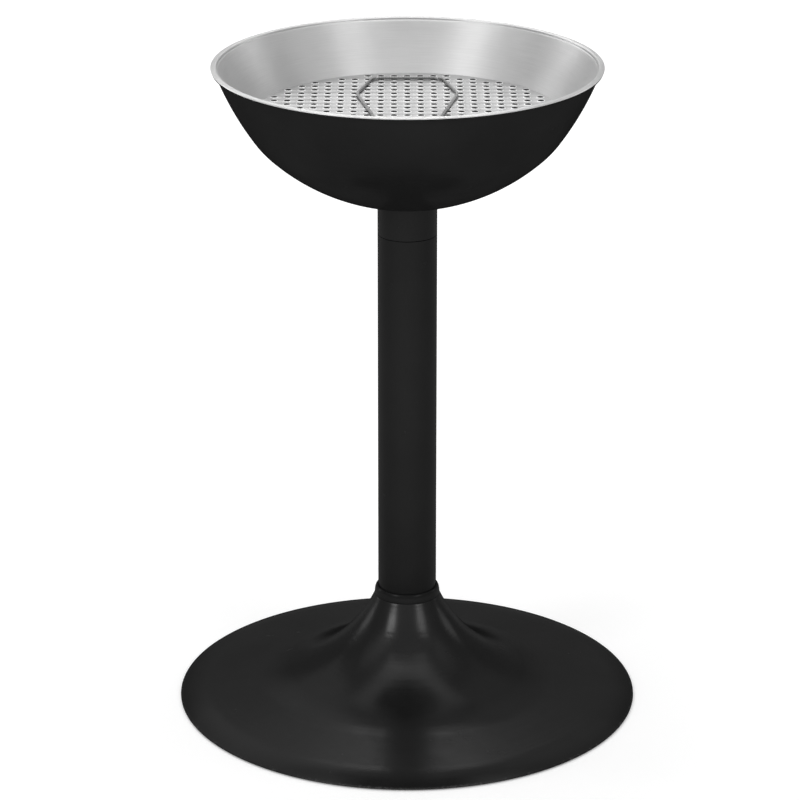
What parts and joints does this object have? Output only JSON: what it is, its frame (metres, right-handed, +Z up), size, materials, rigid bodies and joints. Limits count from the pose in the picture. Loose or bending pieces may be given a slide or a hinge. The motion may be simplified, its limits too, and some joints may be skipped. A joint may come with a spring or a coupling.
{
  "type": "pedestal ash stand",
  "caption": "Floor-standing pedestal ash stand: trumpet base, slim column and round bowl with a lift-out sand liner, perforated sifter plate and folding wire bail.",
  "frame": {"origin": "on the floor, under the column's axis", "axes": "+Z up along the column. The bail's hinge line runs along X, and at rest the bail lies back towards +Y, so -Y is the front"},
  "size_m": [0.3726, 0.3726, 0.5313],
  "materials": {
    "black_coat": "satin black powder coat",
    "spun_aluminium": "spun and brushed, fine ring marks",
    "plated_steel": "matte plated sheet",
    "bail_wire": "drawn wire, semi-bright",
    "zinc_steel": "zinc plated",
    "cast_iron": "rough casting",
    "cover_steel": "thin grey paint on sheet steel",
    "moulded_plastic": "moulded nylon",
    "rubber": "matte rubber"
  },
  "bodies": {
    "pedestal": {"floor_ring": "rubber", "base_cover": "cover_steel", "cover_screw_1": "zinc_steel", "cover_screw_2": "zinc_steel", "cover_screw_3": "zinc_steel", "base_weight": "cast_iron", "base_shell": "black_coat", "foot_collar": "black_coat", "lower_spigot": "moulded_plastic", "column_tube": "black_coat", "upper_coupler": "zinc_steel", "bowl_socket": "black_coat", "outer_bowl": "black_coat", "tie_rod": "zinc_steel", "rod_top_washer": "zinc_steel", "rod_top_lock_washer": "zinc_steel", "rod_top_nut": "zinc_steel", "rod_bottom_washer": "zinc_steel", "rod_bottom_lock_washer": "zinc_steel", "rod_bottom_nut": "zinc_steel"},
    "liner": {"sand_liner": "spun_aluminium"},
    "sifter": {"sifter_plate": "plated_steel", "bail_clip_left": "plated_steel", "bail_clip_right": "plated_steel"},
    "bail": {"sifter_bail": "bail_wire"}
  },
  "joints": [
    {"name": "liner_lift", "type": "slide", "parent": "pedestal", "child": "liner", "axis": [0, 0, 1], "range_m": [0, 0.1]},
    {"name": "sifter_lift", "type": "slide", "parent": "liner", "child": "sifter", "axis": [0, 0, 1], "range_m": [0, 0.1]},
    {"name": "bail_fold", "type": "hinge", "parent": "sifter", "child": "bail", "pos_m": [0, -0.021, 0.4935], "axis": [1, 0, 0], "range_deg": [0, 160]}
  ]
}
